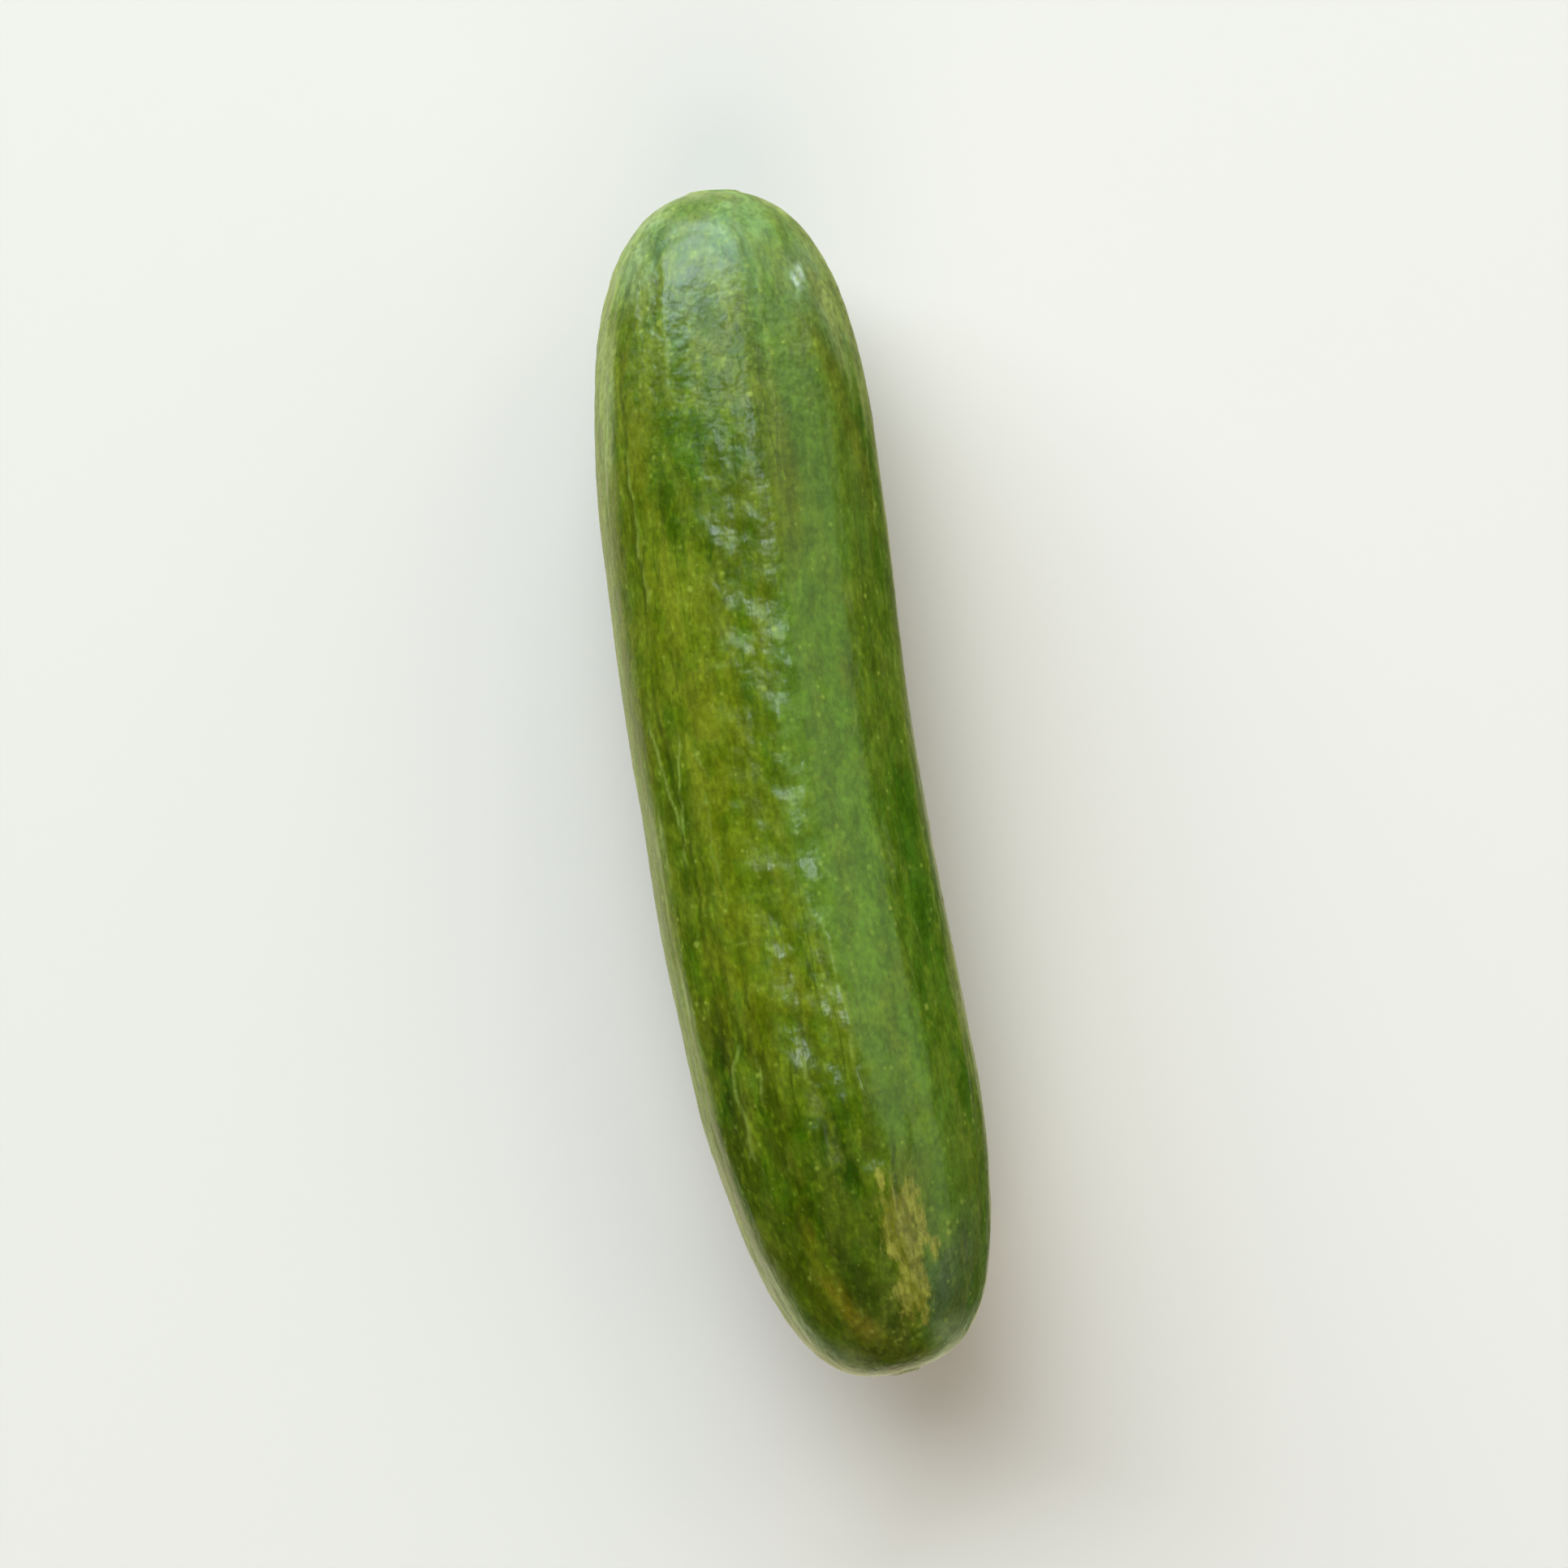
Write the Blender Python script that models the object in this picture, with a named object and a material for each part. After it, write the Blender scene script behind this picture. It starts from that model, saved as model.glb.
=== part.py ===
"""Mini cucumber, one grown piece, lying on a flat surface.

Metres, +Z up. The long axis runs along X with the stem end at +X. The origin is on the
resting surface, under the middle of the fruit's box. A station is a distance from the stem
tip, and a share is a station over the length. Angles round the fruit start at its top and
turn towards +Y, the outer side of the bow.
"""

import math
import random

import bmesh
import bpy
from mathutils import Vector

# Overall form
LENGTH = 0.118                 # stem scar to blossom nub, straight across
HALF_WIDTH = 0.01408           # mean half width, seen from above
HEIGHT_RATIO = 0.97            # height of a section against its width
TAPER = 0.019                  # stem half wider and blossom half slimmer, as a share
BOW = 0.0031                   # how far the middle of the axis stands out towards +Y
SAG = 0.0016                   # how far the middle of the axis hangs below its ends
REST_DEPTH = 0.0003            # depth of the flat spot that the fruit rests on

# Rounded ends: reach along the axis, and the powers of their superellipse
STEM_END = (0.0390, 3.13, 2.36)
BLOSSOM_END = (0.0289, 1.72, 3.05)

# Stem scar, a dry disc sunk inside a low rim
SCAR_RADIUS = 0.0023
SCAR_RIM = 0.0005
SCAR_DEPTH = 0.0005

# Blossom nub, a low corky button with a dimple
NUB_RADIUS = 0.0016
NUB_SEAT_RADIUS = 0.0024
NUB_HEIGHT = 0.0002
NUB_DIMPLE = 0.0001
BODY_LENGTH = LENGTH - NUB_HEIGHT

# Ribs, soft facets that run from end to end
RIB_COUNT = 11
RIB_HEIGHT = 0.00012
RIB_TOP_ANGLE = math.radians(-17.5)            # the crest next to the fruit's top
RIB_UNEVENNESS = 0.55                          # radians of the rib wave, twice round
RIB_UNEVEN_PHASE = 0.9
RIB_DRIFTS = ((0.10, 2.6, 0.4), (-0.05, 7.1, 0.0))    # radians, rate along, phase
RIB_TIP_HEIGHT = 0.35                          # share of the height left at both tips
RIB_STEM_FADE = (0.015, 0.11)
RIB_BLOSSOM_FADE = (0.90, 0.985)

# Three low lobes, one over each seed chamber
LOBE_COUNT = 3
LOBE_HEIGHT = 0.00012
LOBE_ANGLE = math.radians(25)

# Slow waves of the skin: height, rate along, swing, turn and phase, in metres and radians
WAVES = ((0.00009, 11.0, 1.3, 0.0, 0.6), (0.00006, 19.0, 2.0, -1.57, 2.1))

# Long grooves that draw together towards the blossom end
GROOVE_COUNT = 9
GROOVE_DEPTH = 0.00018
GROOVE_HALF_ANGLE = 0.075
GROOVE_SPREAD = 2.45                           # radians to each side of the top
GROOVE_JITTER = 0.12
GROOVE_MIDDLES = (0.71, 0.81)
GROOVE_REACHES = (0.08, 0.15)
GROOVE_BEND = 0.05
GROOVE_BEND_RATE = 9.0

# Shallow dents
DENT_COUNT = 34
DENT_SHARES = (0.07, 0.92)
DENT_SPREAD = 2.3
DENT_DEPTHS = (0.00008, 0.00024)
DENT_LENGTHS = (0.0035, 0.0085)
DENT_WIDTHS = (0.0016, 0.0032)

MARK_SEED = 7
SMOOTH_BELOW = (math.radians(15), math.radians(42))    # relief starts this far from the base
SMOOTH_TIP = (SCAR_RADIUS, 0.0078)                     # and at these radii near a tip

# Mesh divisions
AROUND = 88
END_RINGS = 15
MIDDLE_RINGS = 20

SKIN_COLOR = (0.112, 0.185, 0.022, 1.0)
SKIN_ROUGHNESS = 0.38


def clear_scene():
    for existing in list(bpy.data.objects):
        bpy.data.objects.remove(existing, do_unlink=True)


def smoothstep(limits, value):
    low, high = limits
    part = min(max((value - low) / (high - low), 0.0), 1.0)
    return part * part * (3.0 - 2.0 * part)


def wrapped(angle):
    return (angle + math.pi) % (2.0 * math.pi) - math.pi


def end_growth(distance, end):
    """How much of the full radius is there, this far from the tip of an end."""
    reach, along_power, round_power = end
    if distance >= reach:
        return 1.0
    rise = 1.0 - (1.0 - max(distance, 0.0) / reach) ** along_power
    return rise ** (1.0 / round_power)


def end_distance(growth, end):
    """The distance from the tip at which an end has grown this much."""
    reach, along_power, round_power = end
    return reach * (1.0 - (1.0 - growth ** round_power) ** (1.0 / along_power))


def body_radius(station):
    """Half width of the plain body."""
    along = 1.0 - 2.0 * station / BODY_LENGTH
    full = HALF_WIDTH * (1.0 + TAPER * along)
    return full * end_growth(station, STEM_END) * end_growth(BODY_LENGTH - station, BLOSSOM_END)


def draw_grooves(draw):
    grooves = []
    for number in range(GROOVE_COUNT):
        even = GROOVE_SPREAD * (2.0 * number / (GROOVE_COUNT - 1) - 1.0)
        grooves.append({
            "angle": even + draw.uniform(-GROOVE_JITTER, GROOVE_JITTER),
            "middle": draw.uniform(*GROOVE_MIDDLES),
            "reach": draw.uniform(*GROOVE_REACHES),
            "phase": draw.uniform(0.0, 2.0 * math.pi),
        })
    return grooves


def draw_dents(draw):
    dents = []
    for _ in range(DENT_COUNT):
        dents.append({
            "station": LENGTH * draw.uniform(*DENT_SHARES),
            "angle": draw.uniform(-DENT_SPREAD, DENT_SPREAD),
            "depth": draw.uniform(*DENT_DEPTHS),
            "length": draw.uniform(*DENT_LENGTHS),
            "width": draw.uniform(*DENT_WIDTHS),
        })
    return dents


def rib_relief(share, angle):
    drift = sum(size * math.sin(rate * share + phase) for size, rate, phase in RIB_DRIFTS)
    wave = RIB_COUNT * (angle - RIB_TOP_ANGLE - drift)
    wave += RIB_UNEVENNESS * math.sin(2.0 * angle + RIB_UNEVEN_PHASE)
    fade = smoothstep(RIB_STEM_FADE, share) * (1.0 - smoothstep(RIB_BLOSSOM_FADE, share))
    return RIB_HEIGHT * math.cos(wave) * (RIB_TIP_HEIGHT + (1.0 - RIB_TIP_HEIGHT) * fade)


def lobe_relief(angle):
    return LOBE_HEIGHT * math.cos(LOBE_COUNT * (angle - LOBE_ANGLE))


def wave_relief(share, angle):
    total = 0.0
    for height, rate, swing, turn, phase in WAVES:
        total += height * math.sin(rate * share + swing * math.sin(angle + turn) + phase)
    return total


def groove_relief(share, angle, grooves):
    depth = 0.0
    for groove in grooves:
        bend = GROOVE_BEND * math.sin(GROOVE_BEND_RATE * share + groove["phase"])
        across = wrapped(angle - groove["angle"] - bend) / GROOVE_HALF_ANGLE
        along = (share - groove["middle"]) / groove["reach"]
        depth += math.exp(-across ** 2 - along ** 4)
    return -GROOVE_DEPTH * depth


def dent_relief(station, angle, radius, dents):
    depth = 0.0
    for dent in dents:
        along = (station - dent["station"]) / dent["length"]
        across = wrapped(angle - dent["angle"]) * radius / dent["width"]
        depth += dent["depth"] * math.exp(-along ** 2 - across ** 2)
    return -depth


def relief(station, angle, radius, grooves, dents):
    """Height of the ribs, lobes, waves, grooves and dents over the plain body."""
    share = station / LENGTH
    height = rib_relief(share, angle) + lobe_relief(angle) + wave_relief(share, angle)
    height += groove_relief(share, angle, grooves)
    height += dent_relief(station, angle, radius, dents)
    from_below = math.pi - abs(wrapped(angle))
    return height * smoothstep(SMOOTH_BELOW, from_below) * smoothstep(SMOOTH_TIP, radius)


def end_stations(end, tip_radius):
    """Distances from a tip, from the edge of its disc to the end's reach, closer at first."""
    start = end_distance(tip_radius / HALF_WIDTH, end)
    reach = end[0] - start
    return [start + reach * (step / END_RINGS) ** 2 for step in range(END_RINGS + 1)]


def body_stations():
    stem = end_stations(STEM_END, SCAR_RADIUS + SCAR_RIM)
    blossom = end_stations(BLOSSOM_END, NUB_SEAT_RADIUS)
    blossom = [BODY_LENGTH - distance for distance in reversed(blossom)]
    gap = (blossom[0] - stem[-1]) / MIDDLE_RINGS
    middle = [stem[-1] + gap * step for step in range(1, MIDDLE_RINGS)]
    return stem + middle + blossom


def scar_rings():
    """Stations and radii of the stem scar, from its sunk middle out to its rim."""
    return [
        (SCAR_DEPTH, 0.30 * SCAR_RADIUS),
        (0.92 * SCAR_DEPTH, 0.62 * SCAR_RADIUS),
        (0.70 * SCAR_DEPTH, 0.82 * SCAR_RADIUS),
        (0.12 * SCAR_DEPTH, 0.96 * SCAR_RADIUS),
        (0.0, SCAR_RADIUS + 0.35 * SCAR_RIM),
    ]


def nub_rings():
    """Stations and radii of the blossom nub, from its foot in to its dimple."""
    return [
        (BODY_LENGTH - 0.15 * NUB_HEIGHT, 1.14 * NUB_RADIUS),
        (BODY_LENGTH + 0.45 * NUB_HEIGHT, NUB_RADIUS),
        (LENGTH, 0.80 * NUB_RADIUS),
        (LENGTH, 0.48 * NUB_RADIUS),
        (LENGTH - NUB_DIMPLE, 0.20 * NUB_RADIUS),
    ]


def profile():
    """Every ring of the fruit, as its station and its radius before relief."""
    body = [(station, body_radius(station)) for station in body_stations()]
    return scar_rings() + body + nub_rings()


def axis_frame(station):
    """A point on the bent axis, with the section's side and up directions there."""
    along = 1.0 - 2.0 * station / BODY_LENGTH
    half = 0.5 * BODY_LENGTH
    centre = Vector((half * along, BOW * (1.0 - along ** 2), SAG * along ** 2))
    heading = Vector((half, -2.0 * BOW * along, 2.0 * SAG * along)).normalized()
    side = Vector((0.0, 0.0, 1.0)).cross(heading).normalized()
    return centre, side, heading.cross(side)


def straight_blank(ring_count):
    """A tube along +X, one unit in radius and between rings, with a fan over each end."""
    bm = bmesh.new()
    stand_up = Vector((0.0, 0.0, 1.0)).rotation_difference(Vector((1.0, 0.0, 0.0))).to_matrix()
    bmesh.ops.create_circle(bm, segments=AROUND, radius=1.0)
    bmesh.ops.rotate(bm, verts=bm.verts, matrix=stand_up)
    edges = list(bm.edges)
    for _ in range(ring_count - 1):
        grown = bmesh.ops.extrude_edge_only(bm, edges=edges)["geom"]
        edges = [item for item in grown if isinstance(item, bmesh.types.BMEdge)]
        verts = [item for item in grown if isinstance(item, bmesh.types.BMVert)]
        bmesh.ops.translate(bm, verts=verts, vec=(1.0, 0.0, 0.0))
    ends = bmesh.ops.holes_fill(bm, edges=bm.edges, sides=AROUND)["faces"]
    bmesh.ops.poke(bm, faces=ends)
    return bm


def grow_skin(bm, rings):
    """Moves the blank's points out to the skin."""
    draw = random.Random(MARK_SEED)
    grooves = draw_grooves(draw)
    dents = draw_dents(draw)
    for vert in bm.verts:
        station, radius = rings[round(vert.co.x)]
        radius *= round(math.hypot(vert.co.y, vert.co.z))    # nought at the fans' middles
        angle = math.atan2(vert.co.y, vert.co.z)
        grown = radius + relief(station, angle, radius, grooves, dents)
        centre, side, up = axis_frame(station)
        across = side * (grown * math.sin(angle))
        vert.co = centre + across + up * (grown * HEIGHT_RATIO * math.cos(angle))


def cut_rest_spot(bm):
    """Slices the lowest skin off level, which leaves a flat spot to rest on."""
    level = min(vert.co.z for vert in bm.verts) + REST_DEPTH
    everything = bm.verts[:] + bm.edges[:] + bm.faces[:]
    cut = bmesh.ops.bisect_plane(
        bm, geom=everything, plane_co=(0.0, 0.0, level), plane_no=(0.0, 0.0, -1.0),
        clear_outer=True)["geom_cut"]
    rim = [item for item in cut if isinstance(item, bmesh.types.BMEdge)]
    bmesh.ops.edgeloop_fill(bm, edges=rim)


def centre_on_origin(bm):
    low = [min(vert.co[axis] for vert in bm.verts) for axis in range(3)]
    high = [max(vert.co[axis] for vert in bm.verts) for axis in range(3)]
    shift = (-0.5 * (low[0] + high[0]), -0.5 * (low[1] + high[1]), -low[2])
    bmesh.ops.translate(bm, verts=bm.verts, vec=shift)


def skin_material():
    material = bpy.data.materials.new("cucumber_skin")
    material.use_nodes = True
    shader = material.node_tree.nodes["Principled BSDF"]
    shader.inputs["Base Color"].default_value = SKIN_COLOR
    shader.inputs["Roughness"].default_value = SKIN_ROUGHNESS
    shader.inputs["Metallic"].default_value = 0.0
    return material


def make_cucumber():
    rings = profile()
    bm = straight_blank(len(rings))
    grow_skin(bm, rings)
    cut_rest_spot(bm)
    centre_on_origin(bm)
    bmesh.ops.recalc_face_normals(bm, faces=bm.faces)
    mesh = bpy.data.meshes.new("cucumber")
    bm.to_mesh(mesh)
    bm.free()
    mesh.shade_smooth()
    mesh.materials.append(skin_material())
    cucumber = bpy.data.objects.new("cucumber", mesh)
    bpy.context.scene.collection.objects.link(cucumber)


clear_scene()
make_cucumber()
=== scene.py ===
import math
import random

import bpy
import numpy as np
from mathutils import Matrix, Vector, noise


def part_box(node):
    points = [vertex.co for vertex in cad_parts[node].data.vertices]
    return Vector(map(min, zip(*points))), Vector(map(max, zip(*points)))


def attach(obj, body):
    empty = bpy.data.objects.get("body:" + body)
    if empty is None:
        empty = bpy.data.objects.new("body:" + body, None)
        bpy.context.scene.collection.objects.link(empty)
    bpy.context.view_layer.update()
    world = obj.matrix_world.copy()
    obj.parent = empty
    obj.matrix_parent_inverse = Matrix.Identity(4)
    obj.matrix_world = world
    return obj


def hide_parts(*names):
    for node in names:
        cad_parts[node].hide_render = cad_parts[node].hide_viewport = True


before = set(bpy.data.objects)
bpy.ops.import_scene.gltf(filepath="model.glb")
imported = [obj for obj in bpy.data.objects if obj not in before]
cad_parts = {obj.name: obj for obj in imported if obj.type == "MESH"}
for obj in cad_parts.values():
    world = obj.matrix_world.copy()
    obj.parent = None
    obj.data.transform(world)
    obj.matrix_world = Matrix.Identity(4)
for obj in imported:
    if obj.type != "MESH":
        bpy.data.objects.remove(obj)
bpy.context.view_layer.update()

print("frame loaded, nodes:", sorted(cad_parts))

# The fruit, in millimetres and radians. A station is a distance from the stem tip, a share
# is a station over the length, and angles start at the top and turn towards the bow's outside.
# The two tip profiles give shares of the depth or height and of the radius, ring by ring.
fruit = {
    "boxLength": 118.44,                  # the lying fruit from end to end, as in the frame
    "length": 118.0,
    "halfWidth": 14.08,
    "heightRatio": 0.97,
    "taper": 0.019,
    "bow": 3.1,
    "sag": 1.6,
    "restDepth": 0.3,
    "stemEnd": (39.0, 3.13, 2.36),        # reach, and the two powers of a superellipse
    "blossomEnd": (28.9, 1.72, 3.05),
    "scarRadius": 2.3,
    "scarRim": 0.5,
    "scarDepth": 0.5,
    "scarLip": 0.4,                       # share of the rim where the skin starts
    "scarProfile": ((1.0, 0.25), (0.95, 0.5), (0.85, 0.7), (0.6, 0.85), (0.12, 0.97)),
    "nubRadius": 1.6,
    "nubSeat": 2.4,
    "nubHeight": 0.2,
    "nubProfile": ((-0.15, 1.14), (0.45, 1.0), (1.0, 0.8), (1.0, 0.5)),
    "nubDimple": 0.1,
    "nubDimpleSize": 0.22,
    "sides": 72,
    "tipReach": 8.0,                      # denser rings this far from each tip
    "tipRings": 8,
    "middleRings": 53,
    "smoothing": 2,
}
bodyLength = fruit["length"] - fruit["nubHeight"]
low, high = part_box("cucumber")
mm = (high.x - low.x) / fruit["boxLength"]      # one millimetre of the fruit, in scene units

# The view looks straight down, as in the photograph, from over its middle
photo = {
    "side": 1932,                         # pixels
    "fruitCentre": (798.0, 932.5),
    "mmPerPixel": 0.1768,
    "tilt": 9.29,                         # degrees that the stem end leans to the left
    "height": 400.0,                      # millimetres above the middle of the fruit's box
    "zoom": 2.2,                          # 1 is the photograph's own framing
    "sensor": 36.0,
    "clipStart": 0.01,
}


def viewOffset():                         # from over the fruit's middle to over the photograph's
    tilt, middle = math.radians(photo["tilt"]), 0.5 * photo["side"]
    toRight = (middle - photo["fruitCentre"][0]) * photo["mmPerPixel"]
    toTop = (photo["fruitCentre"][1] - middle) * photo["mmPerPixel"]
    return (toTop * math.cos(tilt) - toRight * math.sin(tilt),
            -toTop * math.sin(tilt) - toRight * math.cos(tilt))


def smoothStep(limits, value):
    part = np.clip((value - limits[0]) / (limits[1] - limits[0]), 0.0, 1.0)
    return part * part * (3.0 - 2.0 * part)


def waved(value, rows):                   # a few sine waves, of size, rate and phase
    return sum(size * np.sin(rate * value + phase) for size, rate, phase in rows)


def wrapped(angle):
    return (angle + math.pi) % (2.0 * math.pi) - math.pi


def endGrowth(distance, end):
    reach, alongPower, roundPower = end
    inside = np.clip(distance / reach, 0.0, 1.0)
    return (1.0 - (1.0 - inside) ** alongPower) ** (1.0 / roundPower)


def endDistance(growth, end):
    reach, alongPower, roundPower = end
    return reach * (1.0 - (1.0 - growth ** roundPower) ** (1.0 / alongPower))


def bodyRadius(station):
    along = 1.0 - 2.0 * station / bodyLength
    full = fruit["halfWidth"] * (1.0 + fruit["taper"] * along)
    stem = endGrowth(station, fruit["stemEnd"])
    return full * stem * endGrowth(bodyLength - station, fruit["blossomEnd"])


def bowAt(station):
    return fruit["bow"] * (1.0 - (1.0 - 2.0 * station / bodyLength) ** 2)


def tipStations(end, tipRadius):
    start = endDistance(tipRadius / fruit["halfWidth"], end)
    reach, count = fruit["tipReach"] - start, fruit["tipRings"]
    return [start + reach * (step / count) ** 2 for step in range(count + 1)]


def profileRings():                       # station and radius of each ring, stem to blossom
    scar, nub = fruit["scarRadius"], fruit["nubRadius"]
    stem = tipStations(fruit["stemEnd"], scar + fruit["scarRim"])
    blossom = [bodyLength - d for d in reversed(tipStations(fruit["blossomEnd"], fruit["nubSeat"]))]
    gap = (blossom[0] - stem[-1]) / fruit["middleRings"]
    middle = [stem[-1] + gap * step for step in range(1, fruit["middleRings"])]
    body = [(station, float(bodyRadius(station))) for station in stem + middle + blossom]
    hollow = [(share * fruit["scarDepth"], size * scar) for share, size in fruit["scarProfile"]]
    lip = (0.0, scar + fruit["scarLip"] * fruit["scarRim"])
    knob = [(bodyLength + share * fruit["nubHeight"], size * nub)
            for share, size in fruit["nubProfile"]]
    dimple = (fruit["length"] - fruit["nubDimple"], fruit["nubDimpleSize"] * nub)
    return hollow + [lip] + body + knob + [dimple]


def turnStraightFruit():                  # ring by ring along X, as if drawn out of a lathe
    rings = profileRings()
    tipX = 0.5 * bodyLength * mm
    bpy.ops.object.select_all(action="DESELECT")
    bpy.ops.mesh.primitive_circle_add(vertices=fruit["sides"], radius=rings[0][1] * mm,
                                      location=(tipX - rings[0][0] * mm, 0, 0),
                                      rotation=(0, math.pi / 2, 0))
    piece = bpy.context.object
    piece.name = piece.data.name = "cucumberSkin"
    bpy.ops.object.transform_apply(location=True, rotation=True, scale=True)
    bpy.ops.object.mode_set(mode="EDIT")
    bpy.ops.mesh.select_all(action="SELECT")
    for (station, radius), (nextStation, nextRadius) in zip(rings, rings[1:]):
        step = (station - nextStation) * mm
        bpy.ops.mesh.extrude_region_move(TRANSFORM_OT_translate={"value": (step, 0, 0)})
        grow = nextRadius / radius
        bpy.ops.transform.resize(value=(1, grow, grow),
                                 center_override=(tipX - nextStation * mm, 0, 0))
    bpy.ops.mesh.select_all(action="SELECT")
    bpy.ops.mesh.fill_holes(sides=0)
    bpy.ops.mesh.select_all(action="SELECT")
    bpy.ops.mesh.normals_make_consistent(inside=False)
    bpy.ops.object.mode_set(mode="OBJECT")
    bpy.ops.object.modifier_add(type="SUBSURF")
    smoothing = piece.modifiers[-1]
    smoothing.levels = smoothing.render_levels = fruit["smoothing"]
    bpy.ops.object.modifier_apply(modifier=smoothing.name)
    print("straight fruit:", len(piece.data.polygons), "faces")
    return piece


# The large relief, which the solid has too
ribs = {
    "count": 11,
    "height": 0.12,
    "topAngle": math.radians(-17.5),
    "unevenness": 0.55,
    "unevenPhase": 0.9,
    "drifts": ((0.10, 2.6, 0.4), (-0.05, 7.1, 0.0)),
    "tipHeight": 0.35,
    "stemFade": (0.015, 0.11),
    "blossomFade": (0.90, 0.985),
}
lobes = {"count": 3, "height": 0.12, "angle": math.radians(25)}
# size, rate along it, swing round it, turn and phase of the slow waves
waves = ((0.09, 11.0, 1.3, 0.0, 0.6), (0.06, 19.0, 2.0, -1.57, 2.1))
grooves = {
    "count": 9,
    "depth": 0.18,
    "halfAngle": 0.075,
    "spread": 2.45,
    "jitter": 0.12,
    "middles": (0.71, 0.81),
    "reaches": (0.08, 0.15),
    "bend": 0.05,
    "bendRate": 9.0,
}
dents = {
    "count": 34,
    "shares": (0.07, 0.92),
    "spread": 2.3,
    "depths": (0.08, 0.24),
    "lengths": (3.5, 8.5),
    "widths": (1.6, 3.2),
}
fade = {"below": (math.radians(15), math.radians(42)), "tip": (2.3, 7.8)}
markSeed = 7


def largeRelief(station, angle, radius):
    share = station / fruit["length"]
    drift = waved(share, ribs["drifts"])
    wave = ribs["count"] * (angle - ribs["topAngle"] - drift)
    wave = wave + ribs["unevenness"] * np.sin(2.0 * angle + ribs["unevenPhase"])
    reach = smoothStep(ribs["stemFade"], share) * (1.0 - smoothStep(ribs["blossomFade"], share))
    height = ribs["height"] * np.cos(wave) * (ribs["tipHeight"] + (1.0 - ribs["tipHeight"]) * reach)
    height += lobes["height"] * np.cos(lobes["count"] * (angle - lobes["angle"]))
    for size, rate, swing, turn, phase in waves:
        height += size * np.sin(rate * share + swing * np.sin(angle + turn) + phase)
    draw = random.Random(markSeed)
    for number in range(grooves["count"]):
        even = grooves["spread"] * (2.0 * number / (grooves["count"] - 1) - 1.0)
        centre = even + draw.uniform(-grooves["jitter"], grooves["jitter"])
        middle = draw.uniform(*grooves["middles"])
        length = draw.uniform(*grooves["reaches"])
        phase = draw.uniform(0.0, 2.0 * math.pi)
        bend = grooves["bend"] * np.sin(grooves["bendRate"] * share + phase)
        across = wrapped(angle - centre - bend) / grooves["halfAngle"]
        height -= grooves["depth"] * np.exp(-across ** 2 - ((share - middle) / length) ** 4)
    for _ in range(dents["count"]):
        place = fruit["length"] * draw.uniform(*dents["shares"])
        centre = draw.uniform(-dents["spread"], dents["spread"])
        depth = draw.uniform(*dents["depths"])
        along = (station - place) / draw.uniform(*dents["lengths"])
        across = wrapped(angle - centre) * radius / draw.uniform(*dents["widths"])
        height -= depth * np.exp(-along ** 2 - across ** 2)
    return height


# The fine relief, on top of it
pebbles = {
    "height": 0.10,
    "lengthwise": 1.35,
    "crosswise": 1.45,
    "shift": 0.0,
    "finerShift": 40.0,                   # a second layer, at half the size
    "finer": 0.45,
    "everywhere": 0.30,                   # share of the height away from the crinkled band
    "bandAngle": math.radians(0),
    "bandHalfAngle": math.radians(17),
    "stemReach": (0.03, 0.24),
    "nearStem": 0.9,
}
wrinkles = {
    "height": 0.075,
    "lengthwise": 5.5,
    "crosswise": 1.25,
    "shift": 70.0,
    "reach": (0.30, 0.80),
    "least": 0.35,
}
warts = {
    "count": 240,
    "seed": 23,
    "shares": (0.04, 0.97),
    "spread": 1.3,
    "sizes": (0.38, 0.55),
    "heights": (0.025, 0.06),
    "reach": 3.0,                         # sizes, past which a wart adds nothing
    "fullTone": 0.04,                     # height at which it has its full colour
}
fold = {
    "share": 0.745,
    "angle": math.radians(31),
    "length": 3.8,
    "width": 1.7,
    "height": 0.12,
    "flatness": 0.7,
    "moat": (1.05, 0.16, 0.6),            # place, width and depth of the groove round it
}
crest = {                                 # low ridge beside the crinkled band
    "angle": math.radians(-20),
    "height": 0.25,
    "halfWidth": 1.8,
    "stations": (20.0, 104.0),
    "fades": (14.0, 8.0),
    "waves": ((0.35, 0.31, 0.0), (0.20, 0.83, 1.0)),
}
dimples = {
    "count": 200,
    "seed": 41,
    "middle": -0.15,
    "spread": 0.42,
    "stations": (24.0, 98.0),
    "depths": (-0.18, 0.18),
    "sizes": (0.9, 1.6),
    "longer": (0.8, 1.4),
    "least": 0.35,                        # share of them left before the next two stations
    "fullFrom": (30.0, 42.0),
}
corkGrain = {
    "edgeWaves": ((0.07, 3.0, 0.7), (0.04, 7.0, 0.0)),
    "scarEdge": (0.80, 1.04),
    "nubEdge": (0.75, 1.15),
    "layers": ((0.16, 1.9), (0.09, 5.0)), # height and fineness
}
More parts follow.
